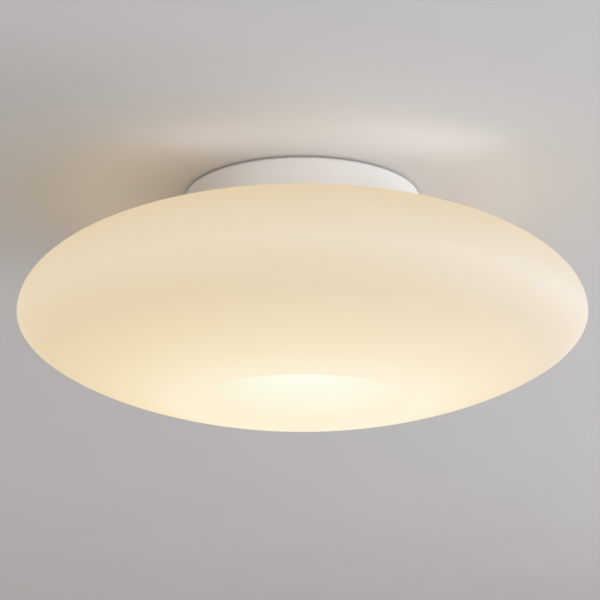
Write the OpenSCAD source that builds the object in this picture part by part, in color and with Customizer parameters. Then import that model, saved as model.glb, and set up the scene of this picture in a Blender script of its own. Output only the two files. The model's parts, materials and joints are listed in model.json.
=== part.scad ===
// Round ceiling light: a flattened opal glass diffuser under a shallow white canopy.
// The origin is the centre of the ceiling face. +Z points up into the ceiling, and the light hangs down.

/* [Canopy] */
// Outer diameter of the canopy
canopy_d = 210; // [204:1:225]
// Height of the canopy, from the ceiling to the lower edge of its rim
canopy_h = 33.3; // [32:0.1:38]
// Thickness of the canopy sheet
canopy_t = 1.2; // [1:0.1:1.6]
// Outside radius of the pressed corner at the ceiling
corner_r = 2.5; // [2:0.1:4]
// Height of the hem that is folded in at the rim
hem_h = 4; // [3:0.5:5]
// Gap between the rim of the canopy and the glass under it
rim_gap = 2.2; // [2:0.1:3]

/* [Ceiling side] */
// Thickness of the foam gasket, which is the shadow gap at the ceiling
gasket_t = 1.2; // [1:0.1:2]
// Width of the foam gasket ring
gasket_w = 4.5; // [3:0.5:5]
// Inset of the gasket from the edge of the flat ceiling face
gasket_inset = 1; // [0.5:0.1:1.5]
// Width of the slots for the ceiling screws
slot_w = 5; // [4:0.1:6]
// Length of those slots from end to end
slot_l = 12; // [9:0.5:13]
// Distance from the rim of the gear tray to the middle of a slot
slot_gap = 5; // [4.5:0.1:6]

/* [Cable inlet] */
// Bore of the rubber grommet
cable_d = 12; // [8:0.5:13]
// Hole in the canopy that the grommet sits in
inlet_d = 20; // [18:0.5:22]
// Width of the grommet's flange outside that hole
inlet_flange = 3; // [2:0.5:3.5]
// Thickness of the grommet's flange inside the canopy
inlet_flange_t = 2; // [1.5:0.1:3]
// Distance of the inlet behind the middle of the canopy
inlet_y = 54; // [52:0.5:57]

/* [Glass] */
// Largest diameter of the glass
glass_d = 500; // [430:5:560]
// Height of the glass above its widest ring, as the curve would close over the neck
upper_h = 88; // [75:0.5:105]
// How much fuller the upper half is than a plain ellipse
upper_swell = 0.045; // [0:0.005:0.1]
// Depth of the glass below its widest ring
lower_h = 85; // [70:0.5:100]
// How far the lower half is drawn in from a plain ellipse
lower_draw = 0.165; // [0:0.005:0.25]
// Wall of the glass
glass_t = 3.5; // [3:0.1:4.5]
// Radial room between the canopy wall and the glass neck, which the catches work in
catch_room = 12.8; // [12.4:0.1:14]
// Room between the canopy sheet and the top edge of the neck
neck_room = 11; // [9.5:0.1:12]
// Radius where the neck runs into the glass
neck_fillet = 4; // [3:0.5:5]

/* [Collar] */
// Thickness of the silicone strip between neck and collar
strip_t = 1.2; // [1:0.1:1.5]
// Thickness of the steel collar
collar_t = 1; // [0.8:0.1:1.2]
// Height of the collar
collar_h = 10; // [9:0.5:11]
// Radius of the bead rolled at the lower edge of the collar
bead_r = 1.6; // [1.4:0.1:1.8]
// Opening of the collar between its two ears
collar_split = 4; // [3:0.5:5]
// Thickness of an ear
ear_t = 1.2; // [1:0.1:1.5]
// Diameter of the collar screw
collar_screw_d = 3; // [2.5:0.1:3]
// Direction of the collar screw, seen from above
collar_angle = 105; // [95:1:115]

/* [Catches] */
// Number of spring catches
catch_count = 3; // [2:1:4]
// Direction of the first catch
catch_angle = 45; // [40:1:50]
// Width of a spring
spring_w = 14; // [10:0.5:16]
// Thickness of a spring
spring_t = 0.6; // [0.4:0.1:0.7]
// Bend radius between the foot and the leg of a spring
spring_bend = 2; // [1.5:0.1:3]
// Length of the foot that is riveted to the canopy
spring_foot = 12; // [11:0.5:12.5]
// Length of the lip under the hook of a spring
spring_lip = 4; // [3:0.5:5]
// Diameter of the rivets
rivet_d = 3; // [2.5:0.1:3.2]

/* [Gear tray] */
// Radial room between the glass neck and the tray
tray_room = 8.5; // [8:0.5:10]
// Thickness of the tray sheet
tray_t = 1; // [0.8:0.1:1.2]
// Height of the wall round the tray
tray_wall_h = 13; // [10:0.5:15]
// Outside radius of the tray corner
tray_corner_r = 3; // [2:0.5:4]
// Length of the hexagonal pillars that carry the tray
pillar_l = 30; // [29:0.5:31]
// Width of a pillar across its flats
pillar_af = 7; // [6:0.5:8]
// Distance from the rim of the tray to the pillars
pillar_inset = 13; // [12:0.5:14]
// Diameter of the tray screws
tray_screw_d = 4; // [3:0.5:4]
// Length of the tray screws
tray_screw_l = 9; // [7:0.5:12]
// Diameter of the hole that the lamp leads pass through, lined by a bush
bush_d = 8; // [7:0.5:9]

/* [Light board] */
// Thickness of the light board
board_t = 1.6; // [1:0.1:2]
// Gap between the board and the heads of the tray screws
board_gap = 4; // [3:0.5:6]
// Distance of the board screws from the edge of the board
board_screw_inset = 5; // [4.5:0.5:6]
// Diameter of the board screws
board_screw_d = 3; // [2.5:0.1:3]
// Side of a light package
chip_w = 3; // [2:0.1:3.5]
// Thickness of a light package
chip_t = 0.7; // [0.5:0.1:1]
// Number of rings of light packages
chip_rings = 3; // [1:1:3]
// Spacing of those rings
chip_ring_step = 16; // [12:0.5:16]
// Distance from the board screws to the outer ring of packages
chip_inset = 7; // [6:0.5:8]
// Packages in the inner ring, and the number that each further ring adds
chips_per_ring = 6; // [4:1:6]

/* [Driver] */
// Length of the driver case
driver_l = 104; // [96:1:110]
// Width of the driver case
driver_w = 40; // [36:1:42]
// Height of the driver case with its cover
driver_h = 22; // [20:0.5:24]
// Wall of the driver case
driver_wall = 1.8; // [1.5:0.1:2.5]
// Distance of the driver in front of the middle of the canopy
driver_y = 22; // [21:0.5:24]
// Length of the fixing tab at each end
tab_l = 9; // [8:0.5:10]
// Width of a fixing tab
tab_w = 12; // [10:0.5:14]
// Thickness of a fixing tab
tab_t = 2; // [1.5:0.1:2.5]
// Diameter of the driver screws
driver_screw_d = 3; // [2.5:0.1:3.5]
// Thickness of the circuit board in the driver
circuit_t = 1.6; // [1:0.1:2]
// Height of the pegs that the circuit board stands on
peg_h = 3; // [2:0.5:4]
// Length of the transformer
transformer_l = 24; // [20:0.5:28]
// Width of the transformer
transformer_w = 20; // [16:0.5:24]
// Height of the transformer
transformer_h = 10; // [8:0.5:10.5]
// Diameter of the capacitors
capacitor_d = 9; // [6:0.5:10]
// Height of the capacitors
capacitor_h = 10; // [8:0.5:10.5]

/* [Terminal block] */
// Spacing of the poles
pole_pitch = 11; // [10:0.5:12]
// Width of the block along a wire
terminal_w = 18; // [16:0.5:20]
// Height of the block
terminal_h = 15; // [14:0.5:17]
// Distance of the block behind the middle of the canopy
terminal_y = 23; // [22:0.5:25]
// Outer diameter of a clamp tube
clamp_d = 6.4; // [6:0.1:7]
// Bore of a clamp tube
clamp_bore = 4; // [3.6:0.1:4.4]
// Diameter of a clamp screw
clamp_screw_d = 2.6; // [2:0.1:3]
// Diameter of the screws that hold the block
block_screw_d = 2.5; // [2:0.1:3]

/* [Earth and wires] */
// Diameter of the earth stud
stud_d = 4; // [3:0.5:5]
// Length of the earth stud
stud_l = 12; // [10:0.5:14]
// Place of the earth stud to the right of the middle
stud_x = 32; // [30:0.5:34]
// Place of the earth stud behind the middle
stud_y = 48; // [46:0.5:50]
// Diameter of the supply wires over their insulation
wire_d = 2.6; // [2:0.1:3]
// Diameter of the lamp leads over their insulation
lead_d = 1.8; // [1.4:0.1:2]

/* [Hidden] */
$fn = 64;

// Small clearances, shared by all fits
slip = 0.15;
seat_gap = 0.3;
catch_gap = 0.35;
ear_gap = 0.8;
cut = 1;

// Thread that stands out past a nut or a plate
thread_end = 1;

// Levels below the ceiling
face_z = -gasket_t;
sheet_z = face_z - canopy_t;
rim_z = -canopy_h;
tray_z = sheet_z - pillar_l;
board_z = tray_z - tray_t;
chip_z = board_z - board_t;

// Radii of the canopy, the neck and what goes inside them
canopy_r = canopy_d / 2;
wall_r = canopy_r - canopy_t;
hem_r = wall_r - canopy_t;
neck_r = wall_r - catch_room;
neck_in_r = neck_r - glass_t;
tray_r = neck_in_r - tray_room;
pillar_r = tray_r - pillar_inset;
slot_r = tray_r + slot_gap;
tray_head_r = tray_screw_d;
board_r = pillar_r - tray_head_r - board_gap;
board_screw_r = board_r - board_screw_inset;
chip_r = board_screw_r - chip_inset;

// The glass: two half ellipses, the upper one swollen a little and the lower one drawn in
glass_r = glass_d / 2;
function dome(r, ring_r, h, swell) =
    let (q = pow(r / ring_r, 2)) h * sqrt(max(0, 1 - q)) * (1 + swell * q);
glass_z = -(canopy_h + rim_gap + dome(canopy_r, glass_r, upper_h, upper_swell));
function glass_top(r) = glass_z + dome(r, glass_r, upper_h, upper_swell);
in_r = glass_r - glass_t;
in_upper_h = upper_h - glass_t;
in_lower_h = lower_h - glass_t;
function glass_ceiling(r) = glass_z + dome(r, in_r, in_upper_h, upper_swell);
neck_z = sheet_z - neck_room;

// The seal that fills the rim gap
seal_lip = 1.5;
seal_setback = 0.6;
seal_lip_h = 4.5;
seal_r = hem_r - slip - seal_lip;
seal_z = glass_top(seal_r) + seat_gap;

// The collar round the neck
strip_r = neck_r + slip;
collar_r = strip_r + strip_t + slip;
collar_out_r = collar_r + collar_t;
neck_lead = 1;
collar_z = neck_z - neck_lead;
collar_end_z = collar_z - collar_h;
bead_ring_r = collar_r + bead_r;
bead_z = collar_end_z + bead_r;
ear_r = seal_r - ear_gap;
ear_h = collar_h - 2 * bead_r;
ear_screw_r = (collar_out_r + ear_r) / 2;
ear_screw_z = collar_z - ear_h / 2;
nut_room = 3;
bead_break = 2 * (collar_split + ear_t + nut_room);

// The catches: a foot, a leg beside the canopy wall, and a hook under the bead
leg_wall_gap = 1.6;
leg_r = wall_r - leg_wall_gap - spring_t / 2;
hook_r = collar_out_r + catch_gap + spring_t / sqrt(2);
hook_z = bead_z + hook_r - bead_ring_r - (bead_r + catch_gap + spring_t / 2) * sqrt(2);
knee_z = hook_z + leg_r - hook_r;
foot_r = leg_r - spring_foot;
foot_z = sheet_z - spring_t / 2;
rivet_r = foot_r + (spring_foot - spring_bend) / 2;
rivet_head_r = 0.85 * rivet_d;
rivet_head_h = 0.3 * rivet_d;
rivet_tail_h = gasket_t - seat_gap;
rivet_tail_d = 1.25 * rivet_d;

// The driver and its place
transformer_x = -4;
core_limb = 6;
peg_d = 4;
peg_inset = 4.5;
circuit_gap = 0.5;
driver_end = driver_l / 2;
driver_back = driver_w / 2 - driver_y;
driver_end_z = sheet_z - driver_h;
tab_screw_x = driver_end + tab_l / 2;
circuit_z = sheet_z - driver_wall - peg_h;
part_z = circuit_z - circuit_t;
inlet_pitch = 10;
inlet_z = sheet_z - driver_h / 2;
wire_play = 0.5;
wire_hole_r = wire_d / 2 + wire_play;
lead_hole_r = lead_d / 2 + wire_play;

// The terminal block and its place
pole_x = [-pole_pitch, 0, pole_pitch];
block_end = 1.5;
clamp_inset = 2;
block_seat = 3;
block_head_r = 0.95 * block_screw_d;
terminal_l = 3 * pole_pitch + 2 * block_end;
terminal_front = terminal_y - terminal_w / 2;
pole_z = sheet_z - terminal_h / 2;
clamp_l = terminal_w - 2 * clamp_inset;
clamp_screw_y = clamp_l / 4;
clamp_screw_end = 1.5;
blade_room = 1.2;

// The bush stands on the circle of the pillars, and the two leads pass through it side by side
bush_r = pillar_r;
bush_flange = 1.2;
lead_y = 1.25 * lead_d / 2;
bush_bore_r = lead_y + lead_d / 2 + slip;

// The connector, at the edge of the light board
connector_l = 7.5;
connector_w = 10;
connector_h = 4.5;
connector_inset = 1;
connector_x = board_r - connector_inset - connector_l / 2;

// Directions of the pillars and of the board screws
pillar_angles = [30, 150, 270];
board_screw_angles = [90, 210, 330];

// Colours
white_paint = [0.86, 0.85, 0.83];
opal = [0.93, 0.87, 0.76];
steel = [0.72, 0.72, 0.70];
nylon = [0.88, 0.88, 0.84];
foam = [0.12, 0.12, 0.12];
silicone = [0.80, 0.80, 0.77];

// Points of an arc in the plane, from one angle to another
function arc(x, y, r, from, to, steps) =
    [for (i = [0 : steps]) let (a = from + (to - from) * i / steps) [x + r * cos(a), y + r * sin(a)]];

// Outline of a bent sheet of thickness t along the line p
function left_of(a, b) = let (d = (b - a) / norm(b - a)) [-d[1], d[0]];
function mitre(p, i) =
    let (
        last = len(p) - 1,
        a = left_of(p[max(i - 1, 0)], p[max(i, 1)]),
        b = left_of(p[min(i, last - 1)], p[min(i + 1, last)])
    )
    (a + b) / (1 + a * b);
function sheet(p, t) = concat(
    [for (i = [0 : len(p) - 1]) p[i] + mitre(p, i) * t / 2],
    [for (i = [len(p) - 1 : -1 : 0]) p[i] - mitre(p, i) * t / 2]
);

// A smooth line through hand-set points, with k steps between two of them
function spline(p, i, t) =
    let (a = p[max(i - 1, 0)], b = p[i], c = p[i + 1], d = p[min(i + 2, len(p) - 1)])
    0.5 * (2 * b + (c - a) * t + (2 * a - 5 * b + 4 * c - d) * t * t + (3 * b - a - 3 * c + d) * t * t * t);
function smooth(p, k) = concat(
    [for (i = [0 : len(p) - 2]) for (j = [0 : k - 1]) spline(p, i, j / k)],
    [p[len(p) - 1]]
);

// Frames that are carried along a line without twisting
function unit(v) = v / norm(v);
function square_to(v) = unit(cross(v, abs(v[2]) < 0.9 ? [0, 0, 1] : [1, 0, 0]));
function carried(headings, n, i = 0) =
    i == len(headings) ? [] :
    let (m = unit(n - (n * headings[i]) * headings[i]))
    concat([m], carried(headings, m, i + 1));

// A round tube of radius r along a line of points
module tube(path, r, sides = 8) {
    n = len(path);
    headings = [for (i = [0 : n - 1]) unit(path[min(i + 1, n - 1)] - path[max(i - 1, 0)])];
    across = carried(headings, square_to(headings[0]));
    points = [
        for (i = [0 : n - 1]) for (j = [0 : sides - 1])
            path[i] + r * (cos(360 * j / sides) * across[i]
                + sin(360 * j / sides) * cross(headings[i], across[i]))
    ];
    last = (n - 1) * sides;
    faces = concat(
        [for (j = [1 : sides - 2]) [0, j, j + 1]],
        [for (j = [1 : sides - 2]) [last, last + j + 1, last + j]],
        [for (i = [0 : n - 2]) for (j = [0 : sides - 1])
            [i * sides + j, (i + 1) * sides + j, (i + 1) * sides + (j + 1) % sides]],
        [for (i = [0 : n - 2]) for (j = [0 : sides - 1])
            [i * sides + j, (i + 1) * sides + (j + 1) % sides, i * sides + (j + 1) % sides]]
    );
    polyhedron(points, faces);
}

// Places a child that is drawn upwards so that it hangs from a level
module hang(x, y, z) {
    translate([x, y, z]) mirror([0, 0, 1]) children();
}

// A round bar between two levels
module cylinder_between(r, low, high) {
    translate([0, 0, low]) cylinder(r = r, h = high - low, $fn = 128);
}

// A pan-head screw drawn with its head up from z = 0 and its shank down, with a cross recess
module pan_screw(d, l, head_r, head_h) {
    slot = 0.22 * head_r;
    difference() {
        rotate_extrude() polygon([
            [0, -l], [0.3 * d, -l], [d / 2, -l + 0.2 * d], [d / 2, 0], [head_r, 0],
            [head_r, 0.45 * head_h], [0.8 * head_r, 0.85 * head_h], [0.45 * head_r, head_h], [0, head_h]
        ]);
        for (a = [0, 90]) rotate([0, 0, a])
            translate([-0.55 * head_r, -slot / 2, 0.5 * head_h]) cube([1.1 * head_r, slot, head_h]);
    }
}

// A hexagonal bar drawn up from z = 0
module hex_bar(af, h) {
    cylinder(d = af / cos(30), h = h, $fn = 6);
}

// Foam ring between the canopy and the ceiling
module ceiling_gasket() {
    out_r = canopy_r - corner_r - gasket_inset;
    color(foam) difference() {
        cylinder_between(out_r, face_z, 0);
        cylinder_between(out_r - gasket_w, face_z - cut, cut);
    }
}

// Outline of the canopy sheet: the ceiling face, the pressed corner, the wall and the folded hem
function canopy_outline() = let (
    flat_r = canopy_r - corner_r,
    bend_z = face_z - corner_r,
    hem_mid = (canopy_r + hem_r) / 2
) concat(
    [[0, face_z]],
    arc(flat_r, bend_z, corner_r, 90, 0, 6),
    arc(hem_mid, rim_z + canopy_t, canopy_t, 0, -180, 8),
    [[hem_r, rim_z + hem_h], [wall_r, rim_z + hem_h]],
    arc(flat_r, bend_z, corner_r - canopy_t, 0, 90, 6),
    [[0, sheet_z]]
);

// The canopy: one pressed steel dish, open downwards
module canopy_shell() {
    color(white_paint) difference() {
        rotate_extrude($fn = 128) polygon(canopy_outline());
        translate([0, inlet_y, 0]) canopy_hole(inlet_d / 2);
        for (a = [0, 90, 180, 270]) rotate([0, 0, a]) ceiling_slot();
        for (a = catch_angles()) rotate([0, 0, a]) translate([rivet_r, 0, 0])
            canopy_hole(rivet_d / 2 + slip / 2);
        for (s = [-1, 1]) {
            translate([s * tab_screw_x, -driver_y, 0]) canopy_hole(driver_screw_d / 2 + slip / 2);
            translate([s * pole_pitch / 2, terminal_y, 0]) canopy_hole(block_screw_d / 2 + slip / 2);
        }
    }
}

// A round hole through the canopy's ceiling face
module canopy_hole(r) {
    translate([0, 0, sheet_z - cut]) cylinder(r = r, h = canopy_t + 2 * cut);
}

// A slot for a ceiling screw, on the X axis and along it
module ceiling_slot() {
    reach = (slot_l - slot_w) / 2;
    translate([slot_r, 0, 0]) {
        for (s = [-1, 1]) translate([s * reach, 0, 0]) canopy_hole(slot_w / 2);
        translate([-reach, -slot_w / 2, sheet_z - cut]) cube([2 * reach, slot_w, canopy_t + 2 * cut]);
    }
}

// Soft white ring that closes the gap between the rim and the glass, set back from the canopy's face
module rim_seal() {
    out_r = canopy_r - seal_setback;
    color(silicone) rotate_extrude($fn = 128) polygon([
        [seal_r, seal_z], [out_r, seal_z], [out_r, rim_z], [seal_r + seal_lip, rim_z],
        [seal_r + seal_lip, rim_z + seal_lip_h], [seal_r + seal_lip / 2, rim_z + seal_lip_h], [seal_r, rim_z]
    ]);
}

// Rubber grommet that lines the cable hole
module cable_grommet() {
    bore_r = cable_d / 2;
    groove_r = inlet_d / 2 - slip / 2;
    flange_r = inlet_d / 2 + inlet_flange;
    top_z = face_z + gasket_t - seat_gap;
    color("dimgray") translate([0, inlet_y, 0]) rotate_extrude() polygon([
        [bore_r, top_z], [flange_r, top_z], [flange_r, face_z], [groove_r, face_z], [groove_r, sheet_z],
        [flange_r, sheet_z], [flange_r, sheet_z - inlet_flange_t], [bore_r, sheet_z - inlet_flange_t]
    ]);
}

function catch_angles() = [for (i = [0 : catch_count - 1]) catch_angle + i * 360 / catch_count];

// Centre line of a spring, from its foot to the tip of its lip
function spring_line() = concat(
    [[foot_r, foot_z]],
    arc(leg_r - spring_bend, foot_z - spring_bend, spring_bend, 90, 0, 4),
    [[leg_r, knee_z], [hook_r, hook_z], [hook_r + spring_lip, hook_z - spring_lip]]
);

// Leaf springs that hook under the bead of the collar and hold the glass up
module catch_springs() {
    color(steel) for (a = catch_angles()) rotate([0, 0, a]) difference() {
        rotate([90, 0, 0]) linear_extrude(height = spring_w, center = true)
            polygon(sheet(spring_line(), spring_t));
        translate([rivet_r, 0, foot_z - cut]) cylinder(d = rivet_d + slip, h = 2 * cut);
    }
}

// Rivets that hold the springs to the canopy
module spring_rivets() {
    grip = spring_t + canopy_t;
    color(steel) for (a = catch_angles()) rotate([0, 0, a]) hang(rivet_r, 0, sheet_z - spring_t)
        rotate_extrude() polygon([
            [0, -grip - rivet_tail_h], [0.4 * rivet_tail_d, -grip - rivet_tail_h], [rivet_tail_d / 2, -grip],
            [rivet_d / 2, -grip], [rivet_d / 2, 0], [rivet_head_r, 0],
            [0.75 * rivet_head_r, rivet_head_h], [0, rivet_head_h]
        ]);
}

// Hexagonal pillars welded to the canopy, threaded for the tray screws
module tray_pillars() {
    color(steel) for (a = pillar_angles) rotate([0, 0, a]) hang(pillar_r, 0, sheet_z) difference() {
        hex_bar(pillar_af, pillar_l);
        translate([0, 0, pillar_l - tray_screw_l - cut])
            cylinder(d = tray_screw_d + slip, h = tray_screw_l + 2 * cut);
    }
}

// Outline of the tray: a flat plate with a rounded corner and a wall that points up
function tray_outline() = concat(
    [[0, board_z]],
    arc(tray_r - tray_corner_r, board_z + tray_corner_r, tray_corner_r, -90, 0, 5),
    [[tray_r, board_z + tray_wall_h], [tray_r - tray_t, board_z + tray_wall_h]],
    arc(tray_r - tray_corner_r, board_z + tray_corner_r, tray_corner_r - tray_t, 0, -90, 5),
    [[0, tray_z]]
);

// The white tray that hides the driver and carries the light board
module gear_tray() {
    color(white_paint) difference() {
        rotate_extrude($fn = 128) polygon(tray_outline());
        for (a = pillar_angles) rotate([0, 0, a]) translate([pillar_r, 0, 0])
            tray_hole(tray_screw_d / 2 + slip);
        for (a = board_screw_angles) rotate([0, 0, a]) translate([board_screw_r, 0, 0])
            tray_hole(board_screw_d / 2 + slip / 2);
        translate([bush_r, 0, 0]) tray_hole(bush_d / 2);
    }
}

// A round hole through the tray plate
module tray_hole(r) {
    translate([0, 0, board_z - cut]) cylinder(r = r, h = tray_t + 2 * cut);
}

// Screws that hold the tray to the pillars
module tray_screws() {
    color(steel) for (a = pillar_angles) rotate([0, 0, a]) hang(pillar_r, 0, board_z)
        pan_screw(tray_screw_d, tray_screw_l, tray_head_r, 0.65 * tray_screw_d);
}

// Rubber bush for the lamp leads in the tray
module tray_bush() {
    groove_r = bush_d / 2 - slip / 2;
    flange_r = bush_d / 2 + bush_flange;
    color("dimgray") translate([bush_r, 0, 0]) rotate_extrude() polygon([
        [bush_bore_r, tray_z + bush_flange], [flange_r, tray_z + bush_flange], [flange_r, tray_z],
        [groove_r, tray_z], [groove_r, board_z], [flange_r, board_z],
        [flange_r, board_z - bush_flange], [bush_bore_r, board_z - bush_flange]
    ]);
}

// The round aluminium board that carries the light packages
module light_board() {
    color("white") translate([0, 0, chip_z]) difference() {
        cylinder(r = board_r, h = board_t, $fn = 128);
        for (a = board_screw_angles) rotate([0, 0, a]) translate([board_screw_r, 0, -cut])
            cylinder(d = board_screw_d + slip, h = board_t + 2 * cut);
    }
}

// Light packages in rings, each with its round window
module light_packages() {
    window = 0.1;
    color([0.95, 0.85, 0.45]) for (i = [0 : chip_rings - 1], k = [0 : chips_per_ring * (chip_rings - i) - 1])
        rotate([0, 0, (k + 0.5) * 360 / (chips_per_ring * (chip_rings - i))])
            hang(chip_r - i * chip_ring_step, 0, chip_z) {
                translate([-chip_w / 2, -chip_w / 2, 0]) cube([chip_w, chip_w, chip_t - window]);
                cylinder(d = 0.8 * chip_w, h = chip_t, $fn = 24);
            }
}

// Screws that hold the light board to the tray
module board_screws() {
    color(steel) for (a = board_screw_angles) rotate([0, 0, a]) hang(board_screw_r, 0, chip_z)
        pan_screw(board_screw_d, board_t + tray_t + 2 * thread_end,
            0.93 * board_screw_d, 0.6 * board_screw_d);
}

// Push-in connector on the light board, with a hole for each lead
module board_connector() {
    color("ivory") hang(connector_x, 0, chip_z) difference() {
        translate([-connector_l / 2, -connector_w / 2, 0]) cube([connector_l, connector_w, connector_h]);
        for (s = [-1, 1]) translate([connector_l / 2 + cut, s * lead_y, connector_h / 2]) rotate([0, -90, 0])
            cylinder(r = lead_d / 2 + slip, h = connector_l / 2 + cut);
    }
}

// The driver's case, open downwards, with a tab at each end and holes for the wires
module driver_case() {
    case_h = driver_h - driver_wall;
    color(nylon) hang(0, -driver_y, sheet_z) difference() {
        union() {
            translate([-driver_end, -driver_w / 2, 0]) cube([driver_l, driver_w, case_h]);
            translate([-driver_end - tab_l, -tab_w / 2, 0]) cube([driver_l + 2 * tab_l, tab_w, tab_t]);
        }
        translate([-driver_end + driver_wall, -driver_w / 2 + driver_wall, driver_wall])
            cube([driver_l - 2 * driver_wall, driver_w - 2 * driver_wall, driver_h]);
        for (s = [-1, 1]) {
            translate([s * tab_screw_x, 0, -cut])
                cylinder(d = driver_screw_d + 2 * slip, h = tab_t + 2 * cut);
            translate([-driver_end - cut, s * inlet_pitch / 2, driver_h / 2]) rotate([0, 90, 0])
                cylinder(r = wire_hole_r, h = driver_wall + 2 * cut);
            translate([driver_end + cut, s * inlet_pitch / 2, driver_h / 2]) rotate([0, -90, 0])
                cylinder(r = lead_hole_r, h = driver_wall + 2 * cut);
        }
    }
    peg_x = driver_end - driver_wall - peg_inset;
    peg_y = driver_w / 2 - driver_wall - peg_inset;
    color(nylon) for (x = [-peg_x, peg_x], y = [-peg_y, peg_y])
        hang(x, y - driver_y, sheet_z - driver_wall / 2)
            cylinder(d = peg_d, h = peg_h + driver_wall / 2);
}

// The driver's cover, with a rib that sits inside the case
module driver_cover() {
    rib = driver_wall + slip;
    rib_t = 1.2;
    rib_h = 2.5;
    color(nylon) hang(0, -driver_y, driver_end_z + driver_wall) {
        translate([-driver_end, -driver_w / 2, 0]) cube([driver_l, driver_w, driver_wall]);
        translate([0, 0, -rib_h]) difference() {
            translate([-driver_end + rib, -driver_w / 2 + rib, 0])
                cube([driver_l - 2 * rib, driver_w - 2 * rib, rib_h + driver_wall / 2]);
            translate([-driver_end + rib + rib_t, -driver_w / 2 + rib + rib_t, -cut])
                cube([driver_l - 2 * rib - 2 * rib_t, driver_w - 2 * rib - 2 * rib_t, rib_h + cut]);
        }
    }
}

// Screws that hold the driver's tabs to the canopy
module driver_screws() {
    color(steel) for (s = [-1, 1]) hang(s * tab_screw_x, -driver_y, sheet_z - tab_t)
        pan_screw(driver_screw_d, tab_t + canopy_t + gasket_t / 2, driver_screw_d, 0.65 * driver_screw_d);
}

// The circuit board in the driver
module driver_circuit() {
    gap = driver_wall + circuit_gap;
    color("darkgreen") translate([-driver_end + gap, -driver_y - driver_w / 2 + gap, part_z])
        cube([driver_l - 2 * gap, driver_w - 2 * gap, circuit_t]);
}

// The transformer: the two ends of its core and the winding between them
module driver_transformer() {
    step = 1;
    color([0.25, 0.25, 0.27]) hang(transformer_x, -driver_y, part_z) {
        for (s = [-1, 1])
            translate([s * (transformer_l - core_limb) / 2 - core_limb / 2, -transformer_w / 2, 0])
                cube([core_limb, transformer_w, transformer_h]);
        translate([-transformer_l / 2, -transformer_w / 4, step])
            cube([transformer_l, transformer_w / 2, transformer_h - 2 * step]);
    }
}

// The capacitors beside the transformer
module driver_capacitors() {
    apart = transformer_l / 2 + capacitor_d;
    color([0.15, 0.17, 0.30]) for (t = [-1, 1], s = [-1, 1])
        hang(transformer_x + t * apart, s * (capacitor_d / 2 + 1) - driver_y, part_z)
            cylinder(d = capacitor_d, h = capacitor_h);
}

// The terminal block's body, with a bore for each pole and holes over its screws
module terminal_block() {
    color("ivory") hang(0, terminal_y, sheet_z) difference() {
        translate([-terminal_l / 2, -terminal_w / 2, 0]) cube([terminal_l, terminal_w, terminal_h]);
        for (x = pole_x) translate([x, 0, terminal_h / 2]) {
            rotate([90, 0, 0]) cylinder(d = clamp_d + 2 * slip, h = clamp_l + 2 * slip, center = true);
            rotate([90, 0, 0]) cylinder(d = clamp_bore, h = terminal_w + 2 * cut, center = true);
            for (s = [-1, 1]) translate([0, s * clamp_screw_y, 0])
                cylinder(r = clamp_screw_d / 2 + blade_room, h = terminal_h);
        }
        for (s = [-1, 1]) translate([s * pole_pitch / 2, 0, 0]) {
            translate([0, 0, -cut]) cylinder(d = block_screw_d + slip, h = terminal_h);
            translate([0, 0, block_seat]) cylinder(r = block_head_r + slip, h = terminal_h);
        }
    }
}

// Brass clamp tubes in the terminal block
module terminal_clamps() {
    color([0.80, 0.66, 0.33]) for (x = pole_x) hang(x, terminal_y, pole_z) difference() {
        rotate([90, 0, 0]) cylinder(d = clamp_d, h = clamp_l, center = true);
        rotate([90, 0, 0]) cylinder(d = clamp_bore, h = clamp_l + 2 * cut, center = true);
        for (s = [-1, 1]) translate([0, s * clamp_screw_y, 0])
            cylinder(d = clamp_screw_d + slip, h = clamp_d);
    }
}

// Screws that clamp the wires, two for each pole
module clamp_screws() {
    length = terminal_h / 2 - clamp_screw_end - clamp_bore / 2;
    slot = 0.6;
    color(steel) for (x = pole_x, s = [-1, 1])
        hang(x, terminal_y + s * clamp_screw_y, pole_z - clamp_bore / 2) difference() {
            cylinder(d = clamp_screw_d, h = length);
            translate([-clamp_screw_d, -slot / 2, length - 1.4 * slot])
                cube([2 * clamp_screw_d, slot, 2 * slot]);
        }
}

// Screws that hold the terminal block to the canopy
module block_screws() {
    color(steel) for (s = [-1, 1]) hang(s * pole_pitch / 2, terminal_y, sheet_z - block_seat)
        pan_screw(block_screw_d, block_seat + canopy_t + gasket_t / 2, block_head_r, 0.7 * block_screw_d);
}

// Levels of the pieces stacked on the earth stud
washer_t = 0.8;
lug_t = 0.8;
lug_z = sheet_z - washer_t;
nut_z = lug_z - lug_t;
nut_h = 0.8 * stud_d;
stud_head_r = 1.15 * stud_d;

// Earth stud welded to the canopy
module earth_stud() {
    chamfer = 0.5;
    color([0.80, 0.66, 0.33]) hang(stud_x, stud_y, sheet_z)
        rotate_extrude() polygon([
            [0, 0], [stud_d / 2, 0], [stud_d / 2, stud_l - chamfer],
            [stud_d / 2 - chamfer, stud_l], [0, stud_l]
        ]);
}

// Washer between the canopy and the earth lug
module earth_washer() {
    color(steel) hang(stud_x, stud_y, sheet_z) ring(stud_head_r, washer_t);
}

// A flat ring round the earth stud
module ring(r, t) {
    difference() {
        cylinder(r = r, h = t);
        translate([0, 0, -cut]) cylinder(d = stud_d + 2 * slip, h = t + 2 * cut);
    }
}

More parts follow.
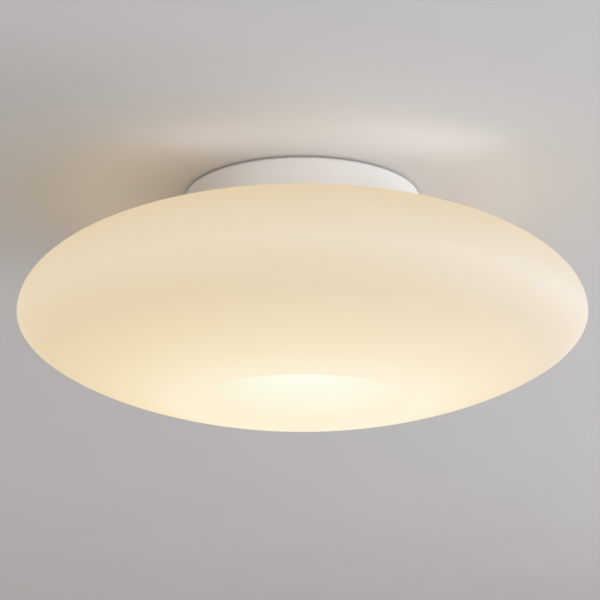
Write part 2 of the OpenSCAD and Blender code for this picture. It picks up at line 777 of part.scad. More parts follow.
// Crimped lug at the end of the earth wire, turned towards the front
lug_l = 9;
lug_lap = 1;
lug_barrel_l = 5;
lug_wall = 0.6;
module earth_lug() {
    barrel_r = wire_d / 2 + slip + lug_wall;
    color([0.80, 0.80, 0.78]) hang(stud_x, stud_y, lug_z) {
        ring(stud_head_r, lug_t);
        translate([-stud_head_r / 2, -lug_l, 0]) cube([stud_head_r, lug_l - stud_d, lug_t]);
        translate([0, -lug_l + lug_lap, barrel_r]) rotate([90, 0, 0]) difference() {
            cylinder(r = barrel_r, h = lug_barrel_l);
            translate([0, 0, lug_lap]) cylinder(r = wire_d / 2 + slip, h = lug_barrel_l);
        }
    }
}

// Nut on the earth stud
module earth_nut() {
    color(steel) hang(stud_x, stud_y, nut_z) difference() {
        hex_bar(1.75 * stud_d, nut_h);
        translate([0, 0, -cut]) cylinder(d = stud_d + slip, h = nut_h + 2 * cut);
    }
}

// Routes of the wires: each line's points are set from the pieces that it joins
wire_grip = 5;
wire_in = terminal_front + wire_grip;
lane = (terminal_front - driver_back) / 4;
solder_in = 6;
wire_steps = 5;
live_route = [
    [-pole_pitch, wire_in, pole_z], [-pole_pitch, terminal_front, pole_z],
    [-pole_pitch - 3, terminal_front - lane, pole_z], [-driver_end / 2, driver_back + 2.7 * lane, pole_z],
    [-driver_end - 2, driver_back + 1.5 * lane, pole_z - 1], [-driver_end - 11, driver_back - 9, inlet_z],
    [-driver_end - 11, -driver_y + inlet_pitch / 2 - 4, inlet_z],
    [-driver_end - 7, -driver_y - inlet_pitch / 2, inlet_z],
    [-driver_end, -driver_y - inlet_pitch / 2, inlet_z],
    [-driver_end + solder_in, -driver_y - inlet_pitch / 2, (inlet_z + part_z) / 2 - 1],
    [-driver_end + solder_in + 1, -driver_y - inlet_pitch / 2, part_z - slip]
];
neutral_route = [
    [0, wire_in, pole_z], [0, terminal_front, pole_z],
    [-3, driver_back + 1.6 * lane, pole_z], [-driver_end / 2, driver_back + 1.1 * lane, pole_z],
    [-driver_end, driver_back + 0.5 * lane, pole_z], [-driver_end - 6, driver_back - 7, inlet_z],
    [-driver_end - 4.5, -driver_y + inlet_pitch / 2 + 1, inlet_z],
    [-driver_end, -driver_y + inlet_pitch / 2, inlet_z],
    [-driver_end + solder_in, -driver_y + inlet_pitch / 2, (inlet_z + part_z) / 2 - 1],
    [-driver_end + solder_in + 1, -driver_y + inlet_pitch / 2, part_z - slip]
];
lug_wire_z = lug_z - wire_d / 2 - slip - lug_wall;
earth_route = [
    [pole_pitch, wire_in, pole_z], [pole_pitch, terminal_front, pole_z],
    [pole_pitch + 3, terminal_front - lane, pole_z], [stud_x - 6, terminal_front - lane, pole_z],
    [stud_x - 1, terminal_front + 6, pole_z], [stud_x, stud_y - lug_l - 8, lug_wire_z],
    [stud_x, stud_y - lug_l - lug_barrel_l + lug_lap, lug_wire_z],
    [stud_x, stud_y - lug_l - lug_lap, lug_wire_z]
];
function lead_route(s) = [
    [driver_end - solder_in - 1, -driver_y + s * inlet_pitch / 2, part_z - slip],
    [driver_end - solder_in, -driver_y + s * inlet_pitch / 2, (inlet_z + part_z) / 2 - 1],
    [driver_end, -driver_y + s * inlet_pitch / 2, inlet_z],
    [driver_end + 4, -driver_y + s * inlet_pitch / 2, inlet_z],
    [bush_r - 2, -driver_y / 2 + s * inlet_pitch / 4, inlet_z - 2],
    [bush_r, s * lead_y, tray_z + 8], [bush_r, s * lead_y, tray_z],
    [bush_r, s * lead_y, board_z - bush_flange], [bush_r - 1.5, s * lead_y, chip_z - connector_h / 2 - 0.5],
    [connector_x + connector_l / 2 + 1, s * lead_y, chip_z - connector_h / 2],
    [connector_x + 1, s * lead_y, chip_z - connector_h / 2]
];

module live_wire() {
    color("saddlebrown") tube(smooth(live_route, wire_steps), wire_d / 2);
}

module neutral_wire() {
    color("royalblue") tube(smooth(neutral_route, wire_steps), wire_d / 2);
}

module earth_wire() {
    color("yellowgreen") tube(smooth(earth_route, wire_steps), wire_d / 2);
}

module lamp_lead_positive() {
    color("firebrick") tube(smooth(lead_route(1), wire_steps), lead_d / 2);
}

module lamp_lead_negative() {
    color([0.1, 0.1, 0.1]) tube(smooth(lead_route(-1), wire_steps), lead_d / 2);
}

// A point on one of the four curves of the glass, at angle t from the widest ring
function shell_point(r, h, swell, t) = [r * cos(t), glass_z + h * sin(t) * (1 + swell * pow(cos(t), 2))];
function shell_curve(r, h, swell, from, to, steps) =
    [for (i = [0 : steps]) shell_point(r, h, swell, from + (to - from) * i / steps)];

// Outline of the glass: the neck's edge, the outside down to the middle, and the inside back up
function glass_outline() = let (
    shoulder_r = neck_r + neck_fillet,
    mouth_r = neck_in_r + neck_fillet,
    edge_r = glass_t / 2,
    shoulder = acos(shoulder_r / glass_r),
    mouth = acos(mouth_r / in_r)
) concat(
    arc(neck_r - edge_r, neck_z - edge_r, edge_r, 180, 0, 6),
    arc(shoulder_r, glass_top(shoulder_r) + neck_fillet, neck_fillet, 180, 262, 5),
    shell_curve(glass_r, upper_h, upper_swell, shoulder, 0, 20),
    shell_curve(glass_r, -lower_h, -lower_draw, 4, 90, 22),
    shell_curve(in_r, -in_lower_h, -lower_draw, 90, 0, 18),
    shell_curve(in_r, in_upper_h, upper_swell, 5, mouth, 15),
    arc(mouth_r, glass_ceiling(mouth_r) + neck_fillet, neck_fillet, 262, 180, 5)
);

// The opal glass: a closed flattened bowl with a neck that goes up into the canopy
module glass_diffuser() {
    color(opal) rotate_extrude($fn = 128) polygon(glass_outline());
}

// Silicone strip between the glass neck and the collar
module neck_strip() {
    color(silicone) difference() {
        cylinder_between(strip_r + strip_t, collar_end_z, collar_z);
        cylinder_between(strip_r, collar_end_z - cut, collar_z + cut);
    }
}

// Steel band round the neck, with a rolled bead below and two ears that the screw draws together
module glass_collar() {
    color(steel) rotate([0, 0, collar_angle]) {
        difference() {
            union() {
                difference() {
                    cylinder_between(collar_out_r, collar_end_z, collar_z);
                    cylinder_between(collar_r, collar_end_z - cut, collar_z + cut);
                }
                difference() {
                    translate([0, 0, bead_z]) rotate_extrude($fn = 128)
                        translate([bead_ring_r, 0]) circle(r = bead_r, $fn = 32);
                    translate([0, -bead_break / 2, bead_z - 2 * bead_r])
                        cube([glass_r, bead_break, 4 * bead_r]);
                }
            }
            translate([0, -collar_split / 2, collar_end_z - cut])
                cube([glass_r, collar_split, collar_h + 2 * cut]);
        }
        for (s = [0, 1]) mirror([0, s, 0]) difference() {
            translate([collar_r + collar_t / 2, collar_split / 2, collar_z - ear_h])
                cube([ear_r - collar_r - collar_t / 2, ear_t, ear_h]);
            translate([ear_screw_r, collar_split / 2 - cut, ear_screw_z]) rotate([-90, 0, 0])
                cylinder(d = collar_screw_d + slip, h = ear_t + 2 * cut);
        }
    }
}

// Screw that draws the collar together
collar_nut_h = 0.8 * collar_screw_d;
module collar_screw() {
    length = collar_split + 2 * ear_t + collar_nut_h + thread_end;
    color(steel) rotate([0, 0, collar_angle])
        translate([ear_screw_r, -collar_split / 2 - ear_t, ear_screw_z]) rotate([90, 0, 0])
            pan_screw(collar_screw_d, length, 0.93 * collar_screw_d, 0.6 * collar_screw_d);
}

// Nut on the collar screw
module collar_nut() {
    color(steel) rotate([0, 0, collar_angle])
        translate([ear_screw_r, collar_split / 2 + ear_t, ear_screw_z]) rotate([-90, 0, 0]) difference() {
            hex_bar(1.75 * collar_screw_d, collar_nut_h);
            translate([0, 0, -cut]) cylinder(d = collar_screw_d + slip, h = collar_nut_h + 2 * cut);
        }
}

ceiling_gasket();
canopy_shell();
rim_seal();
cable_grommet();
catch_springs();
spring_rivets();
tray_pillars();
gear_tray();
tray_screws();
tray_bush();
light_board();
light_packages();
board_screws();
board_connector();
driver_case();
driver_cover();
driver_screws();
driver_circuit();
driver_transformer();
driver_capacitors();
terminal_block();
terminal_clamps();
clamp_screws();
block_screws();
earth_stud();
earth_washer();
earth_lug();
earth_nut();
live_wire();
neutral_wire();
earth_wire();
lamp_lead_positive();
lamp_lead_negative();
glass_diffuser();
neck_strip();
glass_collar();
collar_screw();
collar_nut();
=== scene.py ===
"""A flush ceiling light: a flattened opal glass, lit from inside, under a shallow white canopy."""

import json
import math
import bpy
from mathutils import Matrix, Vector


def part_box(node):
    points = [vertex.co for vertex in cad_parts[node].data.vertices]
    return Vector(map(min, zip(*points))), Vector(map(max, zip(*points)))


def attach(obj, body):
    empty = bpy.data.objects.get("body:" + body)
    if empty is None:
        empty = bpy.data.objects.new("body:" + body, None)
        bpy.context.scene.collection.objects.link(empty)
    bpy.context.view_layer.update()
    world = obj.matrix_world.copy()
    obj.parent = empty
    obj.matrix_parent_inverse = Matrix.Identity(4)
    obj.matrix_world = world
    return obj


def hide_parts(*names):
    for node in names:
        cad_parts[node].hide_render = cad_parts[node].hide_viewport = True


bl_info = {
    "name": "Opal Ceiling Light",
    "version": (1, 0, 0),
    "blender": (4, 5, 0),
    "location": "3D View > Sidebar > Ceiling Light",
    "description": "Dresses a flush ceiling light and hangs it from a plain ceiling",
    "category": "Object",
}

import bmesh
import bpy
from bpy.props import FloatProperty, FloatVectorProperty, IntProperty, PointerProperty
from mathutils import Vector

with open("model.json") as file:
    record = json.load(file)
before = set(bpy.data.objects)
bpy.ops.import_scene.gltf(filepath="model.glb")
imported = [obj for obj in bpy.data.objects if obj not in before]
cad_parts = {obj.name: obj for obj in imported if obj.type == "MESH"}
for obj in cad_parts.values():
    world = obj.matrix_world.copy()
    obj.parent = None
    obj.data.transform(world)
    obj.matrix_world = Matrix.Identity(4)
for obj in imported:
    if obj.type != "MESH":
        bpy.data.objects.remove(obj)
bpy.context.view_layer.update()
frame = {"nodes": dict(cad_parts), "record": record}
glass_low, glass_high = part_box("glass_diffuser")
transformer_low, transformer_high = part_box("driver_transformer")
gasket_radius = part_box("ceiling_gasket")[1].x
package_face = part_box("light_packages")[0].z
can_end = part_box("driver_capacitors")[0].z

# Colours that more than one piece has
ZINC = (0.60, 0.60, 0.58)
BRASS = (0.72, 0.54, 0.22)
BLACK_RUBBER = (0.03, 0.03, 0.03)
BLACK = (0.0, 0.0, 0.0)

# Each colour of the glow, and its height above the widest ring of the glass
GLOW_LEVELS = (
    ("neck", 0.079),
    ("shoulder", 0.067),
    ("temple", 0.020),
    ("brow", -0.006),
    ("cheek", -0.023),
    ("waist", -0.036),
    ("chin", -0.054),
    ("foot", -0.066),
    ("rim", -0.074),
)

# Closer than this, two points of a solid's mesh are one, and so are two points of a spun shape
SAME_POINT = 0.000002
SAME_SPUN_POINT = 0.000005
# Degrees that faces turn at an edge: more than the first is sharp, except on a wire, where no edge is sharp,
# and less than the last is one flat
SHARP = 32.0
NEVER_SHARP = 180.0
ONE_FLAT = 0.5
# How far two levels of rounding draw an eight-sided wire in, as a share of its radius
DRAWN_IN = 0.085
SUPPLY_WIRE_RADIUS = 0.0013
LAMP_LEAD_RADIUS = 0.0009
CASE_BEVEL = 0.0004
CONNECTOR_BEVEL = 0.0003

# The stage: the lamps in the room, and how far round two of them the ceiling's paint is darkened as painted shade,
# so that it doesn't burn out
WINDOW_PLACE = (2.6, 0.6, -0.9)
WINDOW_SHADE_REACH = 2.1
KEY_PLACE = (1.2, -1.9, -0.35)
KEY_SHADE_REACH = 1.3
FILL_PLACE = (0.9, -1.3, -0.8)
# How far under the top of the glass's neck the small lamps lie that light the ceiling and the canopy
LAMPS_UNDER_NECK = 0.017
# The ceiling's height over the light, how much smaller than the foam ring its hole is, the two sheets' radii and
# steps, and the floor's extra brightness to the eye
CEILING_LEVEL = 0.0004
HOLE_MARGIN = 0.001
CEILING_RADIUS = 8.0
FLOOR_RADIUS = 12.0
SHEET_STEPS = 96
FLOOR_LIFT = 0.36
# The room's light, its backdrop to the eye, and how far off level light from below gives way to that from above
ROOM_COLOUR = (1.0, 0.966, 0.954, 1.0)
BACKDROP_COLOUR = (0.72, 0.71, 0.69, 1.0)
HORIZON_BAND = 0.2


def colour_property(name, description, default):
    return FloatVectorProperty(
        name=name, description=description, default=default, size=3, min=0.0, max=1.0, subtype="COLOR"
    )


def length_property(name, description, default):
    return FloatProperty(
        name=name, description=description, default=default, min=0.0, unit="LENGTH", precision=4
    )


def plain_property(name, description, default):
    return FloatProperty(name=name, description=description, default=default)


def angle_property(name, description, default):
    return FloatProperty(name=name, description=description, default=math.radians(default), subtype="ANGLE")


class GlassSizes(bpy.types.PropertyGroup):
    """Sizes of the opal glass, the same as those of its solid"""

    radius: length_property("Radius", "Radius of the widest ring", (glass_high.x - glass_low.x) / 2)
    upper_height: length_property("Upper height", "Height over the widest ring, if the neck were closed", 0.088)
    upper_swell: plain_property("Upper swell", "Fullness over a plain ellipse", 0.045)
    lower_depth: length_property("Lower depth", "Depth below the widest ring", 0.085)
    lower_draw: plain_property("Lower draw", "How far the lower half is drawn in", 0.165)
    wall: length_property("Wall", "Thickness of the glass", 0.0035)
    neck_radius: length_property("Neck radius", "Outside radius of the neck", 0.091)
    neck_fillet: length_property("Neck fillet", "Radius where the neck runs into the glass", 0.004)
    steps: IntProperty(name="Steps", description="Steps round the glass", default=180, min=24)


class GlowColours(bpy.types.PropertyGroup):
    """Glow of the lit glass, from its neck down to the pool of light at its foot"""

    neck: colour_property("Neck", "Behind the gear tray, where less light gets to", (0.40, 0.29, 0.15))
    shoulder: colour_property("Shoulder", "Beside the canopy", (0.67, 0.5, 0.245))
    temple: colour_property("Temple", "Between the shoulder and the widest ring", (0.735, 0.587, 0.365))
    brow: colour_property("Brow", "Just under the widest ring", (0.755, 0.61, 0.385))
    cheek: colour_property("Cheek", "Under the brow", (0.73, 0.574, 0.335))
    waist: colour_property("Waist", "The dimmest band", (0.72, 0.558, 0.302))
    chin: colour_property("Chin", "Below the dimmest band", (0.792, 0.624, 0.338))
    foot: colour_property("Foot", "Towards the pool of light", (0.852, 0.688, 0.394))
    rim: colour_property("Rim", "Just outside the pool of light", (0.892, 0.752, 0.492))
    floor: colour_property("Floor", "The bottom of the glass", (0.892, 0.757, 0.484))
    pool: colour_property("Pool", "Added in the pool of light", (0.0, 0.112, 0.165))
    pool_radius: length_property("Pool radius", "Radius of the pool of light", 0.102)


class FinishColours(bpy.types.PropertyGroup):
    """Colours of paint, glass and insulation"""

    canopy: colour_property("Canopy", "White powder coat of the canopy", (0.755, 0.742, 0.734))
    tray: colour_property("Tray", "White reflecting paint of the gear tray", (0.88, 0.88, 0.87))
    glass: colour_property("Glass", "Opal glass itself", (0.08, 0.12, 0.19))
    live: colour_property("Live wire", "Insulation of the live wire", (0.25, 0.11, 0.045))
    neutral: colour_property("Neutral wire", "Insulation of the neutral wire", (0.04, 0.17, 0.52))
    earth: colour_property("Earth wire", "Ground colour of the earth wire", (0.09, 0.36, 0.07))
    positive: colour_property("Positive lead", "Insulation of the positive lamp lead", (0.58, 0.035, 0.025))
    negative: colour_property("Negative lead", "Insulation of the negative lamp lead", (0.02, 0.02, 0.02))


class StageSettings(bpy.types.PropertyGroup):
    """The ceiling, the light on it and the camera"""

    ceiling: colour_property("Ceiling", "Matt ceiling paint", (0.60, 0.58, 0.565))
    floor: colour_property("Floor", "Pale floor far below", (0.78, 0.77, 0.75))
    room_depth: length_property("Room height", "From the ceiling down to the floor", 2.4)
    light_below: plain_property("Light from below", "Strength of the room's light", 0.592)
    light_above: plain_property("Light from above", "Strength of the ceiling's light", 0.45)
    window_power: plain_property("Window light", "Power of the light on the far right", 56.0)
    key_power: plain_property("Key light", "Power of the low light in front, right", 8.2)
    fill_power: plain_property("Fill light", "Power of the small light in front", 4.9)
    spill_power: plain_property("Spill", "Power of the light above the glass", 0.065)
    wash_power: plain_property("Wash", "Power of the light above the front of the glass", 0.018)
    edge_power: plain_property("Edge", "Power of the light before the canopy", 0.0155)
    distance: length_property("Camera distance", "From the camera to the middle of the glass", 1.8)
    elevation: angle_property("Camera angle", "How far the camera looks up", 16.5)
    tilt: angle_property("Tilt", "Extra tilt above the glass", 0.59)
    pan: angle_property("Pan", "Turn to the left", 0.07)
    lens: plain_property("Lens", "Focal length on a sensor 36 mm wide", 122.4)


# Materials: each finish starts from one shader, and patterns on object coordinates are added to it


def finish(name, colour, roughness, metallic=0.0):
    material = bpy.data.materials.new(name)
    material.use_nodes = True
    shader = shader_of(material)
    shader.inputs["Base Color"].default_value = (*colour, 1.0)
    shader.inputs["Roughness"].default_value = roughness
    shader.inputs["Metallic"].default_value = metallic
    return material


def shader_of(material):
    return material.node_tree.nodes["Principled BSDF"]


def add(owner, kind, inputs=None, **settings):
    """Adds a node to a material or a world, sets its settings, and sets or links its inputs"""
    made = owner.node_tree.nodes.new(kind)
    for key, value in settings.items():
        setattr(made, key, value)
    for key, value in (inputs or {}).items():
        if isinstance(value, bpy.types.NodeSocket):
            owner.node_tree.links.new(value, made.inputs[key])
        else:
            made.inputs[key].default_value = value
    return made


def where(material, stretch=(1.0, 1.0, 1.0)):
    """The place on the object in metres, stretched for a pattern"""
    coordinates = add(material, "ShaderNodeTexCoord")
    mapping = add(material, "ShaderNodeMapping", {"Vector": coordinates.outputs["Object"], "Scale": stretch})
    return mapping.outputs["Vector"]


def parts_of(material):
    """X, Y and Z of the place on the object"""
    return add(material, "ShaderNodeSeparateXYZ", {"Vector": where(material)}).outputs


def noise(material, scale, detail=2.0, stretch=(1.0, 1.0, 1.0)):
    """Soft random spots, scale to the metre"""
    inputs = {"Vector": where(material, stretch), "Scale": scale, "Detail": detail}
    return add(material, "ShaderNodeTexNoise", inputs).outputs["Fac"]


def cells(material, scale):
    """Distance to the middle of the nearest cell"""
    inputs = {"Vector": where(material), "Scale": scale}
    return add(material, "ShaderNodeTexVoronoi", inputs).outputs["Distance"]


def mapped(owner, value, low, high, to_low, to_high, smooth=False):
    """A value's range from low to high, stretched to another and held at its ends"""
    inputs = {"Value": value, "From Min": low, "From Max": high, "To Min": to_low, "To Max": to_high}
    course = "SMOOTHSTEP" if smooth else "LINEAR"
    return add(owner, "ShaderNodeMapRange", inputs, interpolation_type=course).outputs["Result"]


def computed(owner, kind, first, second=0.0):
    """One step of arithmetic"""
    return add(owner, "ShaderNodeMath", {0: first, 1: second}, operation=kind).outputs[0]


def from_axis(material, place):
    """Distance from the light's upright axis"""
    flat = add(material, "ShaderNodeCombineXYZ", {"X": place["X"], "Y": place["Y"]}).outputs["Vector"]
    return add(material, "ShaderNodeVectorMath", {0: flat}, operation="LENGTH").outputs["Value"]


def blended(material, factor, first, second):
    """A colour between two others"""
    mix = add(material, "ShaderNodeMix", data_type="RGBA", clamp_factor=True)
    links = material.node_tree.links
    links.new(factor, mix.inputs["Factor"])
    for value, socket in ((first, mix.inputs[6]), (second, mix.inputs[7])):
        if isinstance(value, bpy.types.NodeSocket):
            links.new(value, socket)
        else:
            socket.default_value = (*value, 1.0)
    return mix.outputs[2]


def connect(material, value, socket):
    material.node_tree.links.new(value, shader_of(material).inputs[socket])


def coloured(material, factor, first, second):
    """Colours the finish from one colour to another"""
    connect(material, blended(material, factor, first, second), "Base Color")


def roughened(material, value, low, high, smoothest, roughest):
    """Lets the gloss follow a pattern"""
    connect(material, mapped(material, value, low, high, smoothest, roughest), "Roughness")


def relief(material, height, depth, strength=1.0):
    """Raises the surface by a pattern, with depth in metres"""
    bump = add(material, "ShaderNodeBump", {"Height": height, "Distance": depth, "Strength": strength})
    connect(material, bump.outputs["Normal"], "Normal")


def scaled(colour, factor):
    return tuple(min(1.0, c * factor) for c in colour)


def powder_coat(name, colour, roughness=0.38):
    """Powder paint with a slight orange peel and faint clouds"""
    material = finish(name, colour, roughness)
    cloud = mapped(material, noise(material, 18.0, 3.0), 0.35, 0.65, 0.0, 1.0)
    coloured(material, cloud, scaled(colour, 0.985), scaled(colour, 1.01))
    roughened(material, noise(material, 60.0), 0.3, 0.7, roughness - 0.04, roughness + 0.05)
    relief(material, noise(material, 650.0, 1.0), 0.00002, 0.5)
    return material


def moulded_plastic(name, colour, roughness=0.5):
    """Plastic with the fine sparkle texture of a mould"""
    material = finish(name, colour, roughness)
    coloured(material, noise(material, 45.0, 4.0), scaled(colour, 0.96), scaled(colour, 1.03))
    roughened(material, noise(material, 300.0), 0.3, 0.7, roughness - 0.06, roughness + 0.08)
    relief(material, noise(material, 2200.0, 2.0), 0.00003, 0.6)
    return material


def soft_rubber(name, colour, roughness=0.6):
    """Rubber or silicone with a dull bloom"""
    material = finish(name, colour, roughness)
    bloom = mapped(material, noise(material, 90.0, 5.0), 0.4, 0.7, 0.0, 1.0)
    coloured(material, bloom, colour, scaled(colour, 1.15))
    roughened(material, bloom, 0.0, 1.0, roughness - 0.08, roughness + 0.1)
    relief(material, noise(material, 1500.0, 3.0), 0.00002, 0.5)
    return material


def foam_rubber(name, colour):
    """Closed-cell foam: small cut cells"""
    material = finish(name, colour, 0.85)
    pores = cells(material, 1400.0)
    coloured(material, pores, scaled(colour, 0.7), scaled(colour, 1.35))
    relief(material, pores, 0.00025, 0.8)
    return material


def rolled_steel(name, colour, roughness=0.3, stretch=(1.0, 1.0, 14.0)):
    """Rolled steel strip with fine lines in one direction"""
    material = finish(name, colour, roughness, 1.0)
    lines = noise(material, 160.0, 6.0, stretch)
    coloured(material, lines, scaled(colour, 0.88), scaled(colour, 1.1))
    roughened(material, lines, 0.3, 0.7, roughness - 0.07, roughness + 0.12)
    relief(material, lines, 0.00001, 0.6)
    return material


def zinc_plate(name, colour=ZINC):
    """Zinc plating with a faint warm and cold bloom"""
    material = finish(name, colour, 0.34, 1.0)
    bloom = noise(material, 130.0, 4.0)
    warm = (colour[0] * 1.06, colour[1] * 1.0, colour[2] * 0.88)
    cold = (colour[0] * 0.90, colour[1] * 0.95, colour[2] * 1.05)
    coloured(material, mapped(material, bloom, 0.35, 0.65, 0.0, 1.0), warm, cold)
    roughened(material, noise(material, 500.0, 3.0), 0.3, 0.7, 0.26, 0.44)
    relief(material, noise(material, 900.0, 2.0), 0.00001, 0.5)
    return material


def turned_brass(name):
    """Turned brass with spots of tarnish"""
    material = finish(name, BRASS, 0.28, 1.0)
    tarnish = mapped(material, noise(material, 220.0, 5.0), 0.35, 0.7, 0.0, 1.0)
    coloured(material, tarnish, BRASS, scaled(BRASS, 0.72))
    roughened(material, tarnish, 0.0, 1.0, 0.22, 0.42)
    return material


def insulation(name, colour):
    """Glossy wire insulation with slight drag marks"""
    material = finish(name, colour, 0.32)
    marks = noise(material, 400.0, 3.0)
    coloured(material, marks, scaled(colour, 0.8), scaled(colour, 1.2))
    relief(material, marks, 0.00002, 0.4)
    return material


def earth_insulation(name, colour):
    """Green insulation with slanting yellow stripes"""
    half_pitch, green_ends, yellow_starts = 0.0032, 0.00145, 0.0017
    material = insulation(name, colour)
    place = parts_of(material)
    wave = computed(material, "PINGPONG", computed(material, "ADD", place["X"], place["Z"]), half_pitch)
    stripe = mapped(material, wave, green_ends, yellow_starts, 0.0, 1.0)
    coloured(material, stripe, colour, (0.80, 0.62, 0.04))
    return material


def light_board_mask(name):
    """White solder mask over copper tracks that run in rings between the light packages"""
    half_pitch, offset, half_width, edge = 0.008, 0.002, 0.0022, 0.0004
    material = finish(name, (0.88, 0.88, 0.86), 0.28)
    turns = computed(material, "ADD", from_axis(material, parts_of(material)), offset)
    track = computed(material, "PINGPONG", turns, half_pitch)
    copper = mapped(material, track, half_width, half_width + edge, 1.0, 0.0, smooth=True)
    mask = blended(material, noise(material, 70.0, 3.0), (0.86, 0.86, 0.84), (0.90, 0.90, 0.885))
    coloured(material, copper, mask, (0.80, 0.805, 0.77))
    relief(material, copper, 0.00004, 0.8)
    return material


def phosphor_package(name):
    """A white package whose round window is filled with yellow phosphor that glows as the lit LED, with a faint
    painted glow on the white body
    """
    white = (0.90, 0.90, 0.86)
    material = finish(name, white, 0.35)
    window = package_face + 0.00007
    filled = mapped(material, parts_of(material)["Z"], window, window + 0.00001, 1.0, 0.0)
    phosphor = blended(material, noise(material, 6000.0), (0.92, 0.66, 0.12), (0.98, 0.80, 0.24))
    coloured(material, filled, white, phosphor)
    # The phosphor window glows brightly as the lit LED; the white body gets a faint painted glow
    connect(material, blended(material, filled, (0.10, 0.09, 0.08), (0.85, 0.66, 0.34)), "Emission Color")
    shader_of(material).inputs["Emission Strength"].default_value = 1.0
    return material


def circuit_laminate(name):
    """Green laminate with tracks at right angles"""
    material = finish(name, (0.03, 0.16, 0.06), 0.3)
    sizes = {"Scale": 220.0, "Mortar Size": 0.12, "Row Height": 0.5, "Brick Width": 1.4}
    inputs = {"Vector": where(material), **sizes}
    tracks = add(material, "ShaderNodeTexBrick", inputs).outputs["Fac"]
    coloured(material, tracks, (0.03, 0.15, 0.055), (0.08, 0.30, 0.11))
    relief(material, tracks, 0.00003, 0.6)
    return material


def wound_core(name):
    """Dark ferrite limbs at the two ends of a winding under yellow tape"""
    limb, edge = 0.006, 0.0001
    material = finish(name, (0.05, 0.05, 0.055), 0.5)
    middle = (transformer_low.x + transformer_high.x) / 2
    winding = (transformer_high.x - transformer_low.x) / 2 - limb
    side = computed(material, "ABSOLUTE", computed(material, "SUBTRACT", parts_of(material)["X"], middle))
    ferrite = mapped(material, side, winding - edge, winding + edge, 0.0, 1.0)
    grit = noise(material, 900.0, 3.0)
    dark = blended(material, grit, (0.035, 0.035, 0.04), (0.09, 0.09, 0.095))
    layers = noise(material, 300.0, stretch=(1.0, 1.0, 8.0))
    coloured(material, ferrite, blended(material, layers, (0.72, 0.50, 0.06), (0.85, 0.62, 0.12)), dark)
    relief(material, grit, 0.00003, 0.6)
    return material


def capacitor_can(name):
    """A dark blue shrink sleeve, open over the bright end of the can"""
    material = finish(name, (0.03, 0.04, 0.12), 0.35)
    end = mapped(material, parts_of(material)["Z"], can_end + 0.0002, can_end + 0.0003, 1.0, 0.0)
    sleeve = blended(material, noise(material, 200.0), (0.025, 0.035, 0.11), (0.04, 0.055, 0.15))
    coloured(material, end, sleeve, (0.62, 0.62, 0.62))
    roughened(material, end, 0.0, 1.0, 0.35, 0.25)
    connect(material, end, "Metallic")
    return material


def pool_of_light(material, radius):
    """How bright the pool is: crisp at the edge that faces the front, fading to the sides and the back"""
    full_half_width, faded_half_width = 0.018, 0.100
    full_front, faded_back = -0.090, 0.015
    upper_limit, limit_edge = glass_low.z + 0.030, 0.005
    place = parts_of(material)
    pool = mapped(material, from_axis(material, place), radius - 0.003, radius + 0.001, 1.0, 0.0, smooth=True)
    side = computed(material, "ABSOLUTE", place["X"])
    across = mapped(material, side, full_half_width, faded_half_width, 1.0, 0.0, smooth=True)
    along = mapped(material, place["Y"], full_front, faded_back, 1.0, 0.0)
    below = mapped(material, place["Z"], upper_limit, upper_limit - limit_edge, 0.0, 1.0)
    for factor in (across, along, below):
        pool = computed(material, "MULTIPLY", pool, factor)
    return pool


def opal_glass(sizes, glow, colour):
    """Satin opal glass that glows: the glow follows the height, and a pool of light lies at the foot"""
    material = finish("opal_glass", colour, 0.6)
    widest = glass_low.z + sizes.lower_depth
    top, bottom = glass_high.z, glass_low.z
    depth = mapped(material, parts_of(material)["Z"], top, bottom, 0.0, 1.0)
    cloud = mapped(material, noise(material, 9.0, 3.0), 0.3, 0.7, -0.006, 0.006)
    ramp = add(material, "ShaderNodeValToRGB", {"Fac": computed(material, "ADD", depth, cloud)})
    stops = [(widest + height, getattr(glow, name)) for name, height in GLOW_LEVELS] + [(bottom, glow.floor)]
    elements = ramp.color_ramp.elements
    while len(elements) < len(stops):
        elements.new(0.5)
    for element, (level, tone) in zip(elements, stops):
        element.position = (top - level) / (top - bottom)
        element.color = (*tone, 1.0)
    pool = pool_of_light(material, glow.pool_radius)
    lit = add(material, "ShaderNodeMix", data_type="RGBA", blend_type="ADD")
    links = material.node_tree.links
    links.new(pool, lit.inputs["Factor"])
    links.new(ramp.outputs["Color"], lit.inputs[6])
    lit.inputs[7].default_value = (*glow.pool, 1.0)
    connect(material, lit.outputs[2], "Emission Color")
    shader_of(material).inputs["Emission Strength"].default_value = 1.0
    shader_of(material).inputs["Specular IOR Level"].default_value = 0.35
    roughened(material, noise(material, 40.0), 0.3, 0.7, 0.66, 0.74)
    relief(material, noise(material, 1800.0, 1.0), 0.00001, 0.4)
    return material


# Pieces


def piece(name, mesh, body, slot, material, *nodes):
    """Puts a finished mesh in the scene: it rides on a body, stands for its nodes and takes a finish"""
    made = bpy.data.objects.new(name, mesh)
    bpy.context.scene.collection.objects.link(made)
    mesh.materials.clear()
    mesh.materials.append(material)
    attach(made, body)
    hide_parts(*nodes)
    return made


def body_of_node(node):
    bodies = frame["record"]["behaviour"]["bodies"]
    return next(body for body, nodes in bodies.items() if node in nodes)


def slot_of_node(node):
    return next(part["material_slot"] for part in frame["record"]["subparts"] if part["node"] == node)


